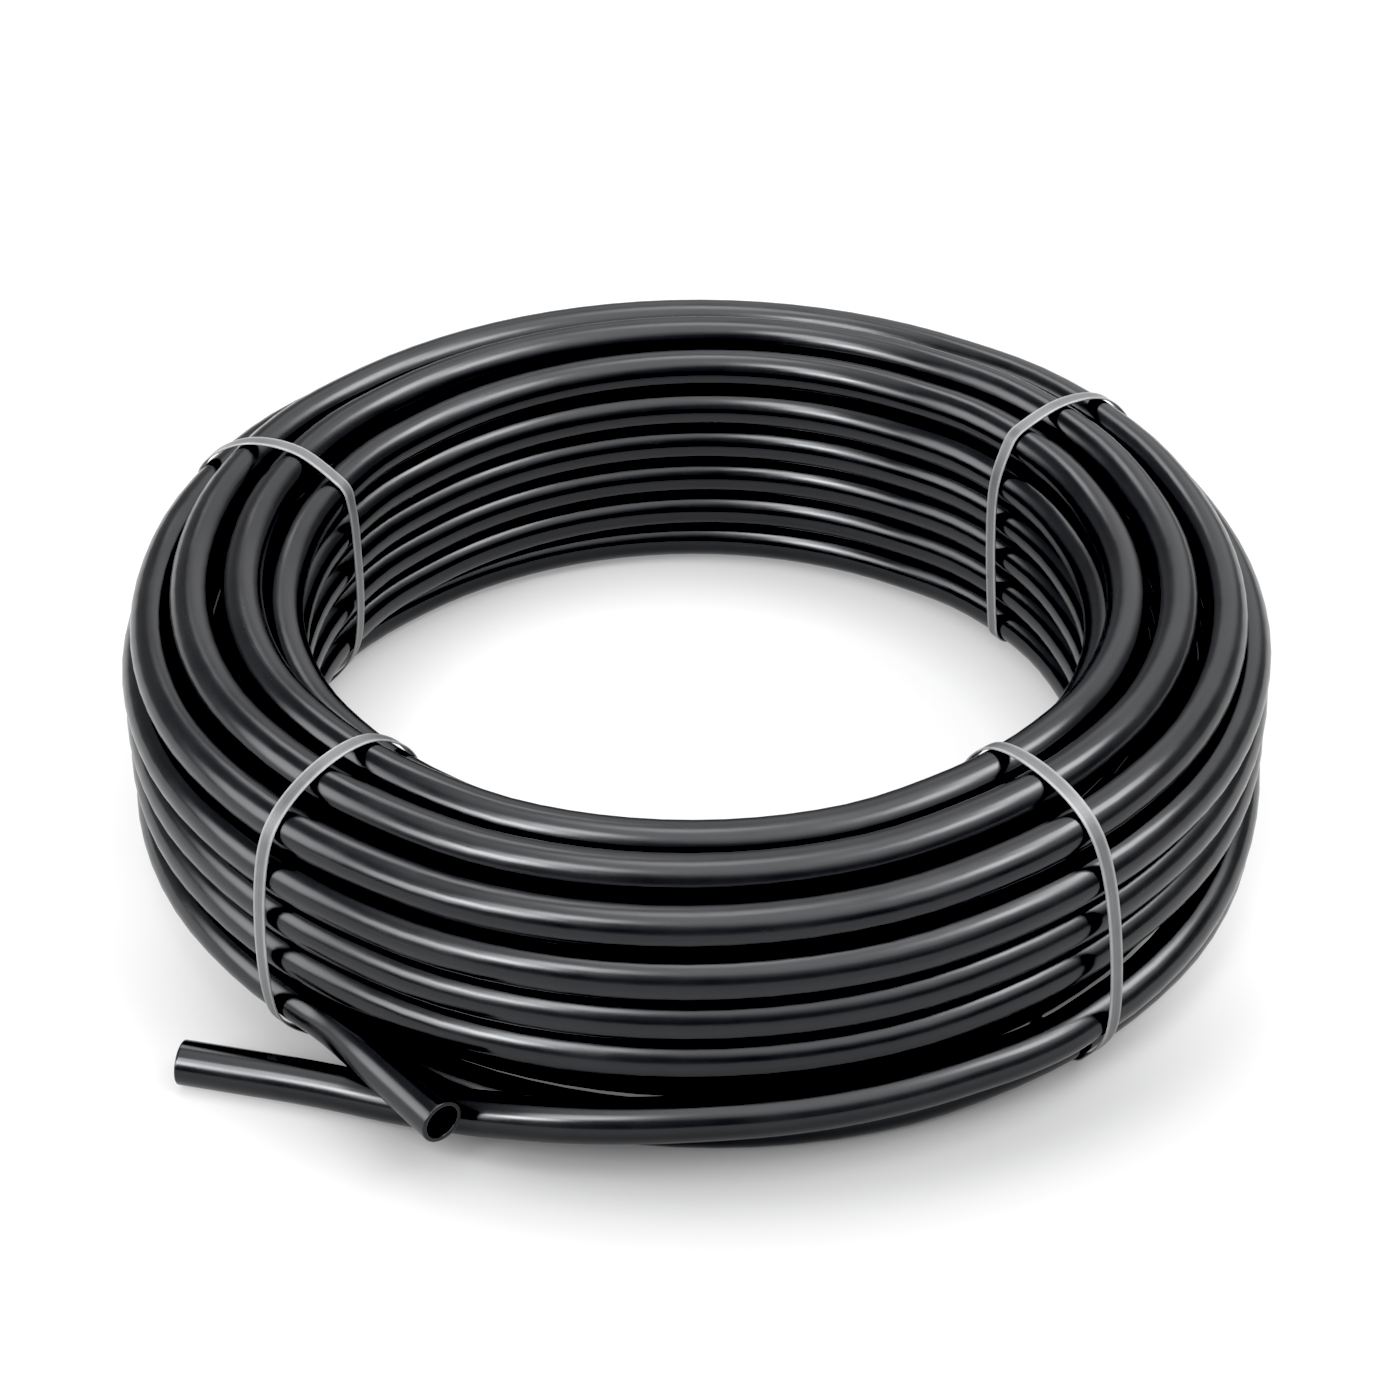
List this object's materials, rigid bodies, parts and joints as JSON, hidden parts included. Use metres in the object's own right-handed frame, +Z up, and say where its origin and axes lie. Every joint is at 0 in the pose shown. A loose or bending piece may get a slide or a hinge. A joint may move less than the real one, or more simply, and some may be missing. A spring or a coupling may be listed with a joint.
{
  "type": "soaker hose",
  "caption": "Smooth black garden watering hose wound in a free-standing coil, with two cut ends, held by flat plastic straps.",
  "frame": {"origin": "middle of the footprint on the floor; the coil's axis stands 0.3 mm to +X and 5.6 mm to +Y of it", "axes": "+Z up along the coil's axis, -Y towards the front, where both hose ends come out, +X to the right seen from the front"},
  "size_m": [0.4586, 0.4696, 0.1197],
  "materials": {
    "hose": "black low-density polyethylene with a soft satin sheen",
    "strap": "light grey drawn polypropylene strapping with fine lengthwise lines"
  },
  "bodies": {
    "root": {"hose_coil": "hose", "hose_stretch_upper": "hose", "hose_stretch_lower": "hose", "hose_tip_upper": "hose", "hose_tip_lower": "hose", "strap_front_left": "strap", "strap_front_right": "strap", "strap_back_right": "strap", "strap_back_left": "strap"}
  },
  "joints": []
}
